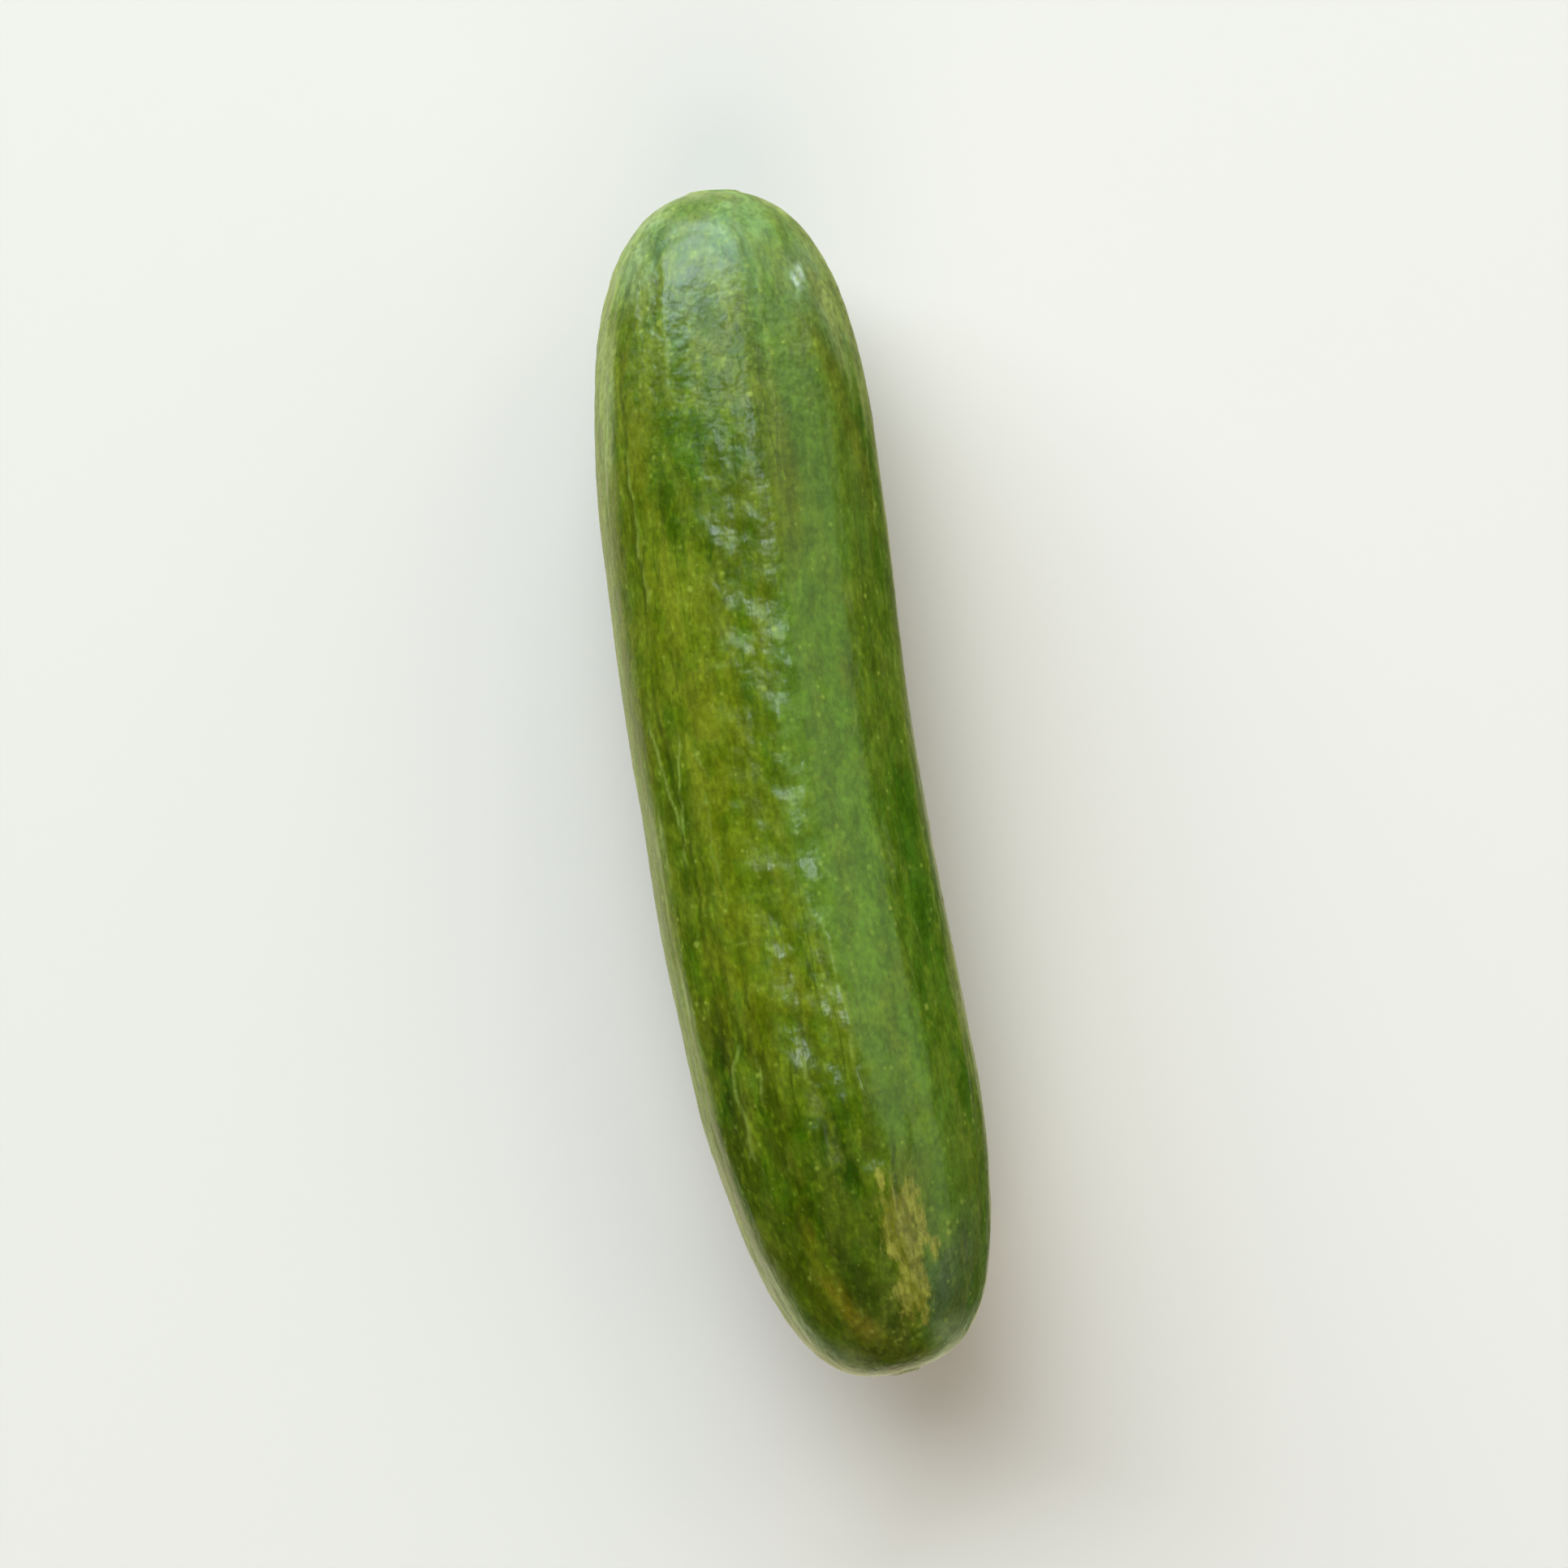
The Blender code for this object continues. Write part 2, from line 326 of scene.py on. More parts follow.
# Creases and fine ridges: station and angle of each point as the photo shows
# it, which asPlaced moves to where it lies, then height, half width and strength.
# The dark strokes carry painted shade along their grooves, the pale ones a painted highlight along
# their ridges.
strokes = {
    "shade": (
        (((14, 56), (21, 51), (27, 51), (33, 50), (41, 49), (47, 51), (56, 48), (62, 43), (70, 45),
          (82, 48)), -0.09, 0.3, 0.65),
        (((6, 57), (10, 58), (13, 59)), -0.06, 0.28, 0.45),
        (((2, -15), (3.5, -17), (7, -17)), -0.06, 0.26, 0.5),
        (((60, 40), (66, 39), (71, 41), (79, 39)), -0.05, 0.42, 0.35),
        (((34, 15), (38, 14), (42, 13.5), (50, 12)), -0.04, 0.26, 0.3),
        (((20, -41), (37, -43), (54, -42), (63, -43.5), (71, -42), (81, -43.5),
          (95, -47)), -0.05, 0.34, 0.18),
        (((32, -53), (48, -53), (59, -56), (72, -55)), -0.04, 0.22, 0.35),
        (((40.5, -39), (42.5, -42)), -0.04, 0.18, 0.55),
        (((74, 29), (78, 29), (83, 27), (90, 28), (95, 27)), -0.06, 0.26, 0.5),
        (((86, -8), (89, -7)), -0.05, 0.22, 0.45),
        (((95, -19), (97, -18), (99.2, -15), (101.8, -16.5), (104, -14)), -0.09, 0.22, 0.75),
        (((103, -21), (105.2, -23), (107.4, -31)), -0.06, 0.2, 0.55),
        (((98, -62), (101.2, -65), (104.6, -67.5), (108, -70)), -0.06, 0.3, 0.4),
        (((14, 72), (50, 73), (104, 71)), -0.05, 0.3, 0.25),
        (((12, 110), (60, 112), (104, 108)), -0.06, 0.35, 0.35),
        (((16, -104), (60, -103), (100, -106)), -0.06, 0.35, 0.35),
        (((20, 148), (58, 152), (98, 146)), -0.05, 0.3, 0.3),
        (((24, -142), (62, -146), (96, -140)), -0.05, 0.3, 0.3),
    ),
    "pale": (
        (((50, 56.5), (53.2, 55), (56.4, 51.5), (59.8, 49), (63, 46.8)), 0.08, 0.24, 0.65),
        (((52, 40.5), (55.2, 42), (57.6, 43.6), (60.2, 45.6), (66, 47.5)), 0.08, 0.2, 0.6),
        (((53.8, 34.4), (55.4, 31.2), (57.4, 27.6)), 0.06, 0.2, 0.5),
        (((59.2, 36), (59.7, 30.4), (59.8, 24.8)), 0.06, 0.18, 0.5),
        (((58, 31), (64, 32), (71, 30)), 0.05, 0.22, 0.3),
        (((51, -38.4), (53.4, -37), (56, -35)), 0.03, 0.15, 0.35),
        (((24, -70), (38, -71), (54, -72), (71, -71), (92, -70)), 0.05, 0.24, 0.32),
        (((73.6, 32), (74.2, 20), (75.8, 13.2), (78.4, 10.8)), 0.08, 0.22, 0.5),
        (((74, -49.6), (75.8, -52), (78, -54)), 0.05, 0.18, 0.5),
        (((83.2, 35), (84, 39.5), (85.8, 43.6), (87.8, 45.2), (90, 44.8), (92, 42.8), (93.4, 45.6),
          (96, 43)), 0.09, 0.28, 0.42),
        (((83.6, 33), (86.4, 29.6), (88.8, 30.8), (91, 34)), 0.07, 0.2, 0.45),
        (((72, -7.5), (78, -8.8), (82.2, -10.4), (89, -8.8), (94, -9)), 0.08, 0.22, 0.35),
        (((85.8, 6.4), (86.6, 10.4), (88.4, 11.2), (89.8, 6)), 0.08, 0.2, 0.5),
        (((86, 3.5), (88, 2.5), (90, 4.5)), 0.06, 0.18, 0.4),
        (((4, 31.6), (5.8, 34.8), (8.6, 31.2), (11.4, 28.8), (14.4, 27.2),
          (20, 26)), 0.08, 0.36, 0.34),
        (((3, -21), (5.2, -23.6), (11.4, -19.2), (18, -19), (25, -18.8)), 0.07, 0.36, 0.26),
        (((2.6, 78), (5.6, 77), (9.4, 74.4), (13, 73), (17.6, 74.5), (24, 72)), 0.07, 0.65, 0.8),
        (((2.4, -66), (5, -67), (8.6, -68), (13.2, -69), (18, -70), (26, -70)), 0.07, 0.42, 0.35),
        # painted highlight: this pale line stands in for a small glint, over a low ridge
        (((7.4, -48), (8.4, -44), (9.6, -42)), 0.05, 0.22, 1),
        (((24, 50), (29.6, 48.4), (35.4, 47.2), (40, 46.5)), 0.07, 0.25, 0.45),
        (((105, -47), (109, -52), (113, -58)), 0.05, 0.2, 0.35),
        (((104, -38), (108, -40), (112, -46)), 0.04, 0.18, 0.25),
    ),
}
strokeShape = {
    "waves": ((0.16, 0.85, 0.0), (0.09, 2.1, 1.3)),
    "ease": 1.6,                          # fades in and out over this length,
    "easeShare": 0.4,                     # or over this share of a short stroke
    "margin": 2.0,
    "leastRadius": 4.0,
    "unseen": 4.0,                        # nearness, in half widths, where no stroke is close
    "rounds": 4,                          # of asPlaced, each closer than the last
    "stemPart": 30.0,
    "seenTurns": (80.0, 68.0),            # largest angle seen in the stem part and past it
}
dashes = {                                # short pale ones; those near the stem are painted glints on the pebbles
    "height": 0.03,
    "halfWidth": 0.15,
    "lean": 0.6,
    "degreesPerMm": 4.5,
    # count, seed, stations, middle and spread in degrees, lengths, strengths
    "sets": (
        (44, 3, (9.0, 26.0), 4.0, 13.0, (0.6, 1.7), (0.20, 0.50)),
        (110, 9, (26.0, 112.0), 4.0, 44.0, (0.6, 2.2), (0.12, 0.38)),
    ),
}
# painted warm reflection, in golden patches: station, angle, half length, half width, fullness
paintedWarmShinePatches = (
    (99.2, -13.5, 3.2, 1.4, 0.50),
    (100.0, -25.5, 3.4, 1.6, 0.52),
    (103.4, -20.0, 4.6, 3.0, 1.05),
    (109.4, -20.5, 5.4, 2.4, 0.90),
    (106.4, -35.0, 2.6, 1.1, 0.65),
)


def grainNoise(place, lengthwise, crosswise, shift):
    stretch = (1.0 / lengthwise, 1.0 / crosswise, 1.0 / crosswise)
    return np.array([noise.noise(Vector(p)) for p in place * stretch + shift])


def pebbleRelief(place, share, angle):
    length, width = pebbles["lengthwise"], pebbles["crosswise"]
    coarse = grainNoise(place, length, width, pebbles["shift"])
    finer = grainNoise(place, 0.5 * length, 0.5 * width, pebbles["finerShift"])
    band = np.exp(-(wrapped(angle - pebbles["bandAngle"]) / pebbles["bandHalfAngle"]) ** 2)
    stem = pebbles["nearStem"] * (1.0 - smoothStep(pebbles["stemReach"], share))
    strength = pebbles["everywhere"] + (1.0 - pebbles["everywhere"]) * np.maximum(band, stem)
    return pebbles["height"] * (coarse + pebbles["finer"] * finer) * strength


def wrinkleRelief(place, share):
    drawn = grainNoise(place, wrinkles["lengthwise"], wrinkles["crosswise"], wrinkles["shift"])
    reach = wrinkles["least"] + (1.0 - wrinkles["least"]) * smoothStep(wrinkles["reach"], share)
    return wrinkles["height"] * drawn * reach


def drawDashes():
    rows = []
    for count, seed, stations, middle, spread, lengths, strengths in dashes["sets"]:
        draw = random.Random(seed)
        for _ in range(count):
            start, turn = draw.uniform(*stations), draw.gauss(middle, spread)
            length, lean = draw.uniform(*lengths), draw.gauss(0.0, dashes["lean"])
            endTurn = turn + dashes["degreesPerMm"] * length * math.sin(lean)
            points = ((start, turn), (start + length * math.cos(lean), endTurn))
            rows.append(("pale", points, dashes["height"], dashes["halfWidth"],
                         draw.uniform(*strengths)))
    return rows


def alongStroke(station, angle, radius, points):    # distance to it, and fading towards its ends
    nearest = np.full_like(station, np.inf)
    along = np.zeros_like(station)
    walked = 0.0
    for (start, turn), (end, endTurn) in zip(points, points[1:]):
        outX, outY = station - start, wrapped(angle - math.radians(turn)) * radius
        spanX, spanY = end - start, math.radians(endTurn - turn) * radius
        length = np.hypot(spanX, spanY)
        part = np.clip((outX * spanX + outY * spanY) / length ** 2, 0.0, 1.0)
        distance = np.hypot(outX - part * spanX, outY - part * spanY)
        along = np.where(distance < nearest, walked + part * length, along)
        nearest = np.minimum(distance, nearest)
        walked += float(np.mean(length))
    ease = min(strokeShape["ease"], strokeShape["easeShare"] * walked)
    return nearest, smoothStep((0.0, ease), along) * smoothStep((0.0, ease), walked - along)


def eyeFromFruit():                       # station and distance outwards of the camera, and
    toStem, outwards = viewOffset()       # level of the fruit's axis against its box's middle
    axisAcross = fruit["bow"] + fruit["halfWidth"] - 0.5 * (high.y - low.y) / mm
    axisHeight = fruit["heightRatio"] * fruit["halfWidth"] - fruit["restDepth"]
    axisLevel = axisHeight - 0.5 * (high.z - low.z) / mm
    return 0.5 * bodyLength - toStem, axisAcross + outwards, axisLevel


def asPlaced(station, degrees, eye):      # from where the photo shows a point to where it lies
    nearStem, further = strokeShape["seenTurns"]
    if abs(degrees) > (nearStem if station < strokeShape["stemPart"] else further):
        return station, degrees
    eyeStation, eyeAcross, axisLevel = eye
    place, turn = station, math.radians(degrees)
    seenAcross = bowAt(station) + bodyRadius(station) * math.sin(turn)
    for _ in range(strokeShape["rounds"]):
        sag = fruit["sag"] * (1.0 - 2.0 * place / bodyLength) ** 2
        top = fruit["heightRatio"] * bodyRadius(place) * math.cos(turn)
        lift = (axisLevel + sag + top) / photo["height"]
        place = station + (eyeStation - station) * lift
        across = seenAcross + (eyeAcross - seenAcross) * lift
        turn = math.asin(np.clip((across - bowAt(place)) / bodyRadius(place), -1.0, 1.0))
    return float(place), math.degrees(turn)


# relief of all strokes, then nearness and strength of the dark and the pale ones
def strokeFields(station, angle, radius):
    relief = np.zeros_like(station)
    near = {name: np.full_like(station, strokeShape["unseen"]) for name in ("shade", "pale")}
    strength = {name: np.zeros_like(station) for name in near}
    wave = waved(station, strokeShape["waves"])
    turned = angle + wave / np.maximum(radius, strokeShape["leastRadius"])
    eye = eyeFromFruit()
    rows = [(name, [asPlaced(*point, eye) for point in points], *rest)
            for name, group in strokes.items() for points, *rest in group]
    for name, points, tall, half, share in rows + drawDashes():
        first = min(point[0] for point in points) - strokeShape["margin"]
        last = max(point[0] for point in points) + strokeShape["margin"]
        here = np.nonzero((station > first) & (station < last))[0]
        distance, fading = alongStroke(station[here], turned[here], radius[here], points)
        relief[here] += tall * fading * np.exp(-(distance / half) ** 2)
        closer = distance / half < near[name][here]
        near[name][here] = np.where(closer, distance / half, near[name][here])
        strength[name][here] = np.where(closer, share * fading, strength[name][here])
    return relief, near, strength


def crestRelief(station, angle, radius):
    across = wrapped(angle - crest["angle"]) * radius - waved(station, crest["waves"])
    (start, end), (fadeIn, fadeOut) = crest["stations"], crest["fades"]
    begun = smoothStep((start, start + fadeIn), station)
    reach = begun * (1.0 - smoothStep((end - fadeOut, end), station))
    return crest["height"] * reach * np.exp(-(across / crest["halfWidth"]) ** 2)


# share of the painted warm reflection, patch by patch
def paintedWarmShineField(station, angle, radius):
    field = np.full_like(station, -1.0)
    for place, turn, length, width, full in paintedWarmShinePatches:
        across = wrapped(angle - math.radians(turn)) * radius / width
        field = np.maximum(field, full - np.hypot((station - place) / length, across))
    return field


def wartRelief(station, angle, radius):
    draw = random.Random(warts["seed"])
    height = np.zeros_like(station)
    for _ in range(warts["count"]):
        place = fruit["length"] * draw.uniform(*warts["shares"])
        centre = draw.gauss(0.0, warts["spread"])
        size = draw.uniform(*warts["sizes"])
        tall = draw.uniform(*warts["heights"])
        near = np.abs(station - place) < warts["reach"] * size
        along = (station[near] - place) / size
        across = wrapped(angle[near] - centre) * radius[near] / size
        height[near] += tall * np.exp(-along ** 2 - across ** 2)
    return height


def dimpleRelief(station, angle, radius): # shallow dents and swellings that break up the shine
    draw = random.Random(dimples["seed"])
    height = np.zeros_like(station)
    for _ in range(dimples["count"]):
        place = draw.uniform(*dimples["stations"])
        centre = draw.gauss(dimples["middle"], dimples["spread"])
        depth = draw.uniform(*dimples["depths"])
        size = draw.uniform(*dimples["sizes"])
        length = size * draw.uniform(*dimples["longer"])
        along = (station - place) / length
        across = wrapped(angle - centre) * radius / size
        height += depth * np.exp(-along ** 2 - across ** 2)
    least, grown = dimples["least"], smoothStep(dimples["fullFrom"], station)
    return height * (least + (1.0 - least) * grown)


def foldRelief(station, angle, radius):
    along = (station - fold["share"] * fruit["length"]) / fold["length"]
    across = wrapped(angle - fold["angle"]) * radius / fold["width"]
    out = along ** 2 + across ** 2
    raised = np.clip(1.0 - out, 0.0, 1.0) ** fold["flatness"]
    middle, width, depth = fold["moat"]
    moat = np.exp(-((np.sqrt(out) - middle) / width) ** 2)
    return fold["height"] * (raised - depth * moat)


def corkRelief(place, station, angle, radius):    # torn fibres of the scar, grain of the nub
    uneven = 1.0 + waved(angle, corkGrain["edgeWaves"])
    scar = 1.0 - smoothStep(corkGrain["scarEdge"], radius / (fruit["scarRadius"] * uneven))
    nub = 1.0 - smoothStep(corkGrain["nubEdge"], radius / fruit["nubRadius"])
    mask = np.where(station < 0.5 * fruit["length"], scar, nub)
    height = np.zeros_like(station)
    for number in np.nonzero(mask > 0.0)[0]:
        point = Vector(place[number])
        height[number] = sum(tall * noise.noise(point * fineness)
                             for tall, fineness in corkGrain["layers"])
    return height * mask, mask


def axisFrame(station):
    along = 1.0 - 2.0 * station / bodyLength
    half = 0.5 * bodyLength
    bow, sag = fruit["bow"], fruit["sag"]
    centre = np.stack([half * along, bowAt(station), sag * along ** 2], 1)
    heading = np.stack([np.full_like(along, half), -2.0 * bow * along, 2.0 * sag * along], 1)
    heading /= np.linalg.norm(heading, axis=1)[:, None]
    side = np.cross((0.0, 0.0, 1.0), heading)
    side /= np.linalg.norm(side, axis=1)[:, None]
    return centre, heading, side, np.cross(heading, side)


def growSkin(piece):                      # relief, bow and hang, on the straight fruit's points
    mesh = piece.data
    straight = np.zeros(len(mesh.vertices) * 3)
    mesh.vertices.foreach_get("co", straight)
    straight = straight.reshape(-1, 3) / mm
    station = 0.5 * bodyLength - straight[:, 0]
    radius = np.hypot(straight[:, 1], straight[:, 2])
    angle = np.arctan2(straight[:, 1], straight[:, 2])
    place = np.stack([station, straight[:, 1], straight[:, 2]], 1)
    share = station / fruit["length"]
    fromBelow = math.pi - np.abs(wrapped(angle))
    calmTip = smoothStep(fade["tip"], radius)
    wart = wartRelief(station, angle, radius)
    drawn, near, strength = strokeFields(station, angle, radius)
    relief = largeRelief(station, angle, radius) * smoothStep(fade["below"], fromBelow)
    relief += pebbleRelief(place, share, angle) + wrinkleRelief(place, share)
    relief += foldRelief(station, angle, radius) + wart + drawn
    relief += dimpleRelief(station, angle, radius) + crestRelief(station, angle, radius)
    cork, corkMask = corkRelief(place, station, angle, radius)
    centre, heading, side, up = axisFrame(station)
    grown = (radius + relief * calmTip)[:, None]
    points = centre + side * grown * np.sin(angle)[:, None]
    points += up * grown * fruit["heightRatio"] * np.cos(angle)[:, None]
    tipward = np.where(station < 0.5 * fruit["length"], 1.0, -1.0) * cork
    points += heading * tipward[:, None]
    settle(points)
    mesh.vertices.foreach_set("co", (points * mm).astype(np.float32).ravel())
    drift = driftedAngle(place, angle)
    belly = bellyShare(place, drift)
    calm = np.maximum(bandAt(drift, *skin["calmBand"]), skin["bellyCalm"] * belly)
    calm = np.maximum(calm, skin["innerCalm"] * bandAt(drift, *skin["innerBand"]))
    pebbled = bandAt(drift, *skin["pebbleBand"]) * smoothStep(skin["pebbleFrom"], station)
    pebbled *= 1.0 - skin["pebbleLoss"] * smoothStep(skin["pebbleFade"], station)
    keepMarks(mesh, {
        "skinPlace": place,
        "skinGround": groundColour(station, angle, drift, belly),
        "skinDark": np.stack([near["shade"], strength["shade"], calm], 1),
        "skinPale": np.stack([near["pale"], strength["pale"], wart / warts["fullTone"]], 1),
        "skinMarks": np.stack([paintedWarmShineField(station, angle, radius), pebbled, corkMask], 1),
    })
    mesh.update()


def settle(points):                       # down on the flat spot, under the middle of its box
    level = points[:, 2].min() + fruit["restDepth"]
    points[:, 2] = np.maximum(points[:, 2] - level, 0.0) + low.z / mm
    middle = 0.5 * (low + high) / mm
    for axis in (0, 1):
        points[:, axis] += middle[axis] - 0.5 * (points[:, axis].min() + points[:, axis].max())


def keepMarks(mesh, marks):               # what the skin's material reads, point by point
    for name, values in marks.items():
        layer = mesh.attributes.new(name, "FLOAT_VECTOR", "POINT")
        layer.data.foreach_set("vector", values.astype(np.float32).ravel())


# The skin. Colours are as they look on screen, 0 to 255, angles in degrees, the rest in
# millimetres. A band is its middle, half its width and how softly it ends.
skin = {
    "ground": (90, 103, 8),
    "olive": (101, 104, 4),
    "straw": (128, 130, 30),
    "fresh": (88, 116, 26),
    "deep": (60, 95, 0),
    "leaf": (94, 130, 26),
    "shade": (44, 56, 0),
    "dark": (26, 36, 0),
    "dusk": (70, 84, 54),
    "pale": (134, 144, 16),
    "ridge": (148, 158, 64),
    # partly the skin's paler underside, partly a painted rim reflection
    "belly": (148, 154, 80),
    "paintedSheen": (168, 182, 132),             # painted reflection: a pale sheen towards the rims of both ends
    "fleck": (178, 184, 66),
    "paintedGlint": (230, 238, 214),           # painted highlight: one small glint near the stem
    # painted warm reflection: the tones of the golden patches
    "warmShineTone": (156, 144, 54),
    "warmShineDeepTone": (116, 108, 20),
    # painted warm reflection, browner
    "brown": (134, 108, 18),
    "cork": (158, 134, 88),
    "corkDark": (118, 96, 54),
    "nub": (186, 180, 126),
    "wander": 0.42,                       # how far the edges of the bands stray, in radians
    "wanderLayers": ((22.0, 9.0, 31.0, 1.0), (11.0, 4.5, 62.0, 0.5)),
    "oliveBand": (36, 24, 9),
    "freshBand": (-35, 19, 5),
    "freshStrength": 0.8,
    "deepFrom": (-53, -60),
    "calmBand": (-30, 16, 8),             # smoother than the rest
    "innerBand": (-60, 16, 6),            # and half as smooth
    "innerCalm": 0.5,
    "pebbleBand": (-2, 24, 12),
    "pebbleFrom": (7.0, 11.0),
    "pebbleFade": (22.0, 40.0),
    "pebbleLoss": 0.6,
    "bellyStrength": 0.85,
    "bellyCalm": 0.5,
    "bellyLeft": (60, 71),
    "bellyRight": (-74, -88),
    "bellyTears": ((15.0, 1.7, 90.0, 11.0), (5.0, 0.8, 120.0, 8.0)),
    "bellyFade": 0.35,                    # share of the paleness lost again
    "bellyFadeFrom": (85.0, 140.0),       # towards the bottom
    "stemPale": (16.0, 34.0, 14.0),       # the pale sides reach higher near the stem, where they paint the rim's reflection
    # partly painted light: fresher and lighter towards the stem
    "stemFresh": 0.4,
    "stemEnd": (26.0, 3.0),
    "blossomHalf": (74.0, 102.0),
    "blossomShade": (0.16, 0.40),         # painted shade towards the blossom end: everywhere, and added towards the outer side
    "blossomSide": (-30.0, 0.0),
    "patchCore": 0.2,                     # share of a patch's half length at full strength
    "patchWidth": 0.6,
    "patchSoftness": 0.5,
}
# station, angle, half length, half width in degrees, colour, strength
patches = (
    (38.0, 22, 16.0, 14, "straw", 0.50),
    (55.0, 25, 13.0, 13, "straw", 0.50),
    (73.0, 16, 11.0, 12, "straw", 0.26),
    (29.0, 4, 11.0, 20, "deep", 0.50),
    # painted shade: dims the top under the lamp's sheen
    (34.0, 3, 12.0, 17, "shade", 0.50),
    (24.0, 40, 14.0, 15, "shade", 0.34),
    # painted light: lightens this flank where the light falls off
    (56.0, -41, 30.0, 9, "leaf", 0.45),
    (64.0, 42, 20.0, 12, "deep", 0.50),
    (62.0, 45, 22.0, 14, "shade", 0.50),
    # painted reflection: a pale sheen near the stem and along its rims
    (3.0, 0, 8.0, 90, "paintedSheen", 0.26),
    (4.0, 46, 10.0, 36, "paintedSheen", 0.50),
    (16.0, 66, 16.0, 12, "paintedSheen", 0.40),
    (11.0, -68, 9.0, 15, "paintedSheen", 0.45),
    (8.0, -22, 8.0, 13, "deep", 0.40),
    (25.0, -58, 13.0, 12, "olive", 0.60),
    (66.0, -58, 34.0, 14, "deep", 0.50),
    # these rows darken the blossom end: partly the skin's darker tone, partly painted shade
    (86.0, 44, 12.0, 21, "dark", 1.00),
    (100.0, 28, 14.0, 24, "shade", 0.62),
    (91.0, 18, 11.0, 13, "deep", 0.60),
    (89.0, 19, 13.0, 14, "shade", 0.75),
    (99.0, 3, 12.0, 15, "deep", 0.85),
    (100.0, 5, 13.0, 19, "dark", 0.90),
    (109.0, 0, 12.0, 13, "shade", 0.55),
    (103.0, 36, 14.0, 19, "shade", 0.55),
    (110.0, -44, 9.0, 19, "dusk", 0.85),
    # painted warm reflection: brown-gold on the left of the blossom end
    (109.5, 17, 6.0, 12, "brown", 0.80),
    (105.0, 22, 5.0, 8, "brown", 0.40),
    # painted reflection: a pale sheen on the rims of the blossom end
    (109.0, 63, 12.0, 14, "paintedSheen", 0.50),
    (117.0, 58, 5.0, 30, "paintedSheen", 0.45),
    (117.0, -52, 4.5, 34, "paintedSheen", 0.55),
    # painted highlight: a small glint near the stem
    (9.2, -65.2, 1.1, 1.8, "paintedGlint", 0.90),
    (10.1, -62.0, 1.1, 1.6, "paintedGlint", 0.90),
)
# length, width, detail, threshold from and to, shift, strength, colour
streakLayers = (
    (40.0, 4.2, 3.0, 0.36, 0.66, 3.0, 0.32, "olive"),
    (26.0, 2.4, 2.0, 0.40, 0.66, 7.0, 0.26, "deep"),
    (5.0, 2.6, 2.0, 0.44, 0.60, 27.0, 0.30, "straw"),
    (4.0, 2.1, 2.0, 0.46, 0.62, 33.0, 0.40, "deep"),
    (10.0, 1.5, 2.0, 0.48, 0.70, 9.0, 0.14, "pale"),
    (6.0, 1.0, 1.0, 0.48, 0.68, 13.0, 0.24, "shade"),
    (1.6, 0.75, 1.0, 0.50, 0.68, 17.0, 0.12, "shade"),
    (1.3, 0.65, 1.0, 0.54, 0.70, 19.0, 0.20, "pale"),
)


def layeredNoise(place, layers):          # lengthwise, crosswise, shift and size of each
    return sum(size * grainNoise(place, *layer) for *layer, size in layers)


def driftedAngle(place, angle):
    return angle + skin["wander"] * layeredNoise(place, skin["wanderLayers"])


def bandAt(drift, middle, half, soft):
    off = np.abs(np.degrees(drift) - middle)
    return 1.0 - smoothStep((half - soft, half + soft), off)


def overlaid(colour, share, name):
    return colour + share[:, None] * (np.array(tint(name)[:3]) - colour)


def bellyShare(place, drift):             # pale underside, with a torn edge: partly the skin's own, partly a painted rim reflection
    degrees = np.degrees(drift)
    start, end, higher = skin["stemPale"]
    higher = higher * (1.0 - smoothStep((start, end), place[:, 0]))
    higher = higher + layeredNoise(place, skin["bellyTears"])
    share = np.maximum(smoothStep(skin["bellyLeft"], degrees + higher),
                       smoothStep(skin["bellyRight"], degrees - higher))
    return share * (1.0 - skin["bellyFade"] * smoothStep(skin["bellyFadeFrom"], np.abs(degrees)))


def groundColour(station, angle, drift, belly):   # broad bands, then patches, then the belly
    colour = np.tile(tint("ground")[:3], (len(station), 1))
    colour = overlaid(colour, bandAt(drift, *skin["oliveBand"]), "olive")
    colour = overlaid(colour, skin["freshStrength"] * bandAt(drift, *skin["freshBand"]), "fresh")
    colour = overlaid(colour, smoothStep(skin["deepFrom"], np.degrees(drift)), "deep")
    # partly painted light: fresher and lighter towards the stem
    colour = overlaid(colour, skin["stemFresh"] * smoothStep(skin["stemEnd"], station), "fresh")
    # painted shade: darker towards the blossom end, more so on the outer side
    everywhere, added = skin["blossomShade"]
    shaded = everywhere + added * smoothStep(skin["blossomSide"], np.degrees(angle))
    colour = overlaid(colour, shaded * smoothStep(skin["blossomHalf"], station), "shade")
    for middle, turn, length, half, name, strength in patches:
        fading = smoothStep((skin["patchCore"] * length, length), np.abs(station - middle))
        across = bandAt(drift, turn, skin["patchWidth"] * half, skin["patchSoftness"] * half)
        colour = overlaid(colour, strength * (1.0 - fading) * across, name)
    return overlaid(colour, skin["bellyStrength"] * belly, "belly")


def tint(name, palette=None):
    colour = (palette or skin)[name]
    channels = [channel / 255.0 for channel in colour]
    linear = [c / 12.92 if c <= 0.04045 else ((c + 0.055) / 1.055) ** 2.4 for c in channels]
    return (*linear, 1.0)


def addNode(tree, kind, inputs=None, **settings):
    new = tree.nodes.new(kind)
    for key, value in settings.items():
        setattr(new, key, value)
    for socket, value in (inputs or {}).items():
        if isinstance(value, bpy.types.NodeSocket):
            tree.links.new(value, new.inputs[socket])
        else:
            new.inputs[socket].default_value = value
    return new


def blendColour(tree, factor, first, second):
    return addNode(tree, "ShaderNodeMix", {0: factor, 6: first, 7: second},
                   data_type="RGBA").outputs[2]


def calculate(tree, operation, first, second=0.5, third=0.5):
    return addNode(tree, "ShaderNodeMath", {0: first, 1: second, 2: third},
                   operation=operation).outputs[0]


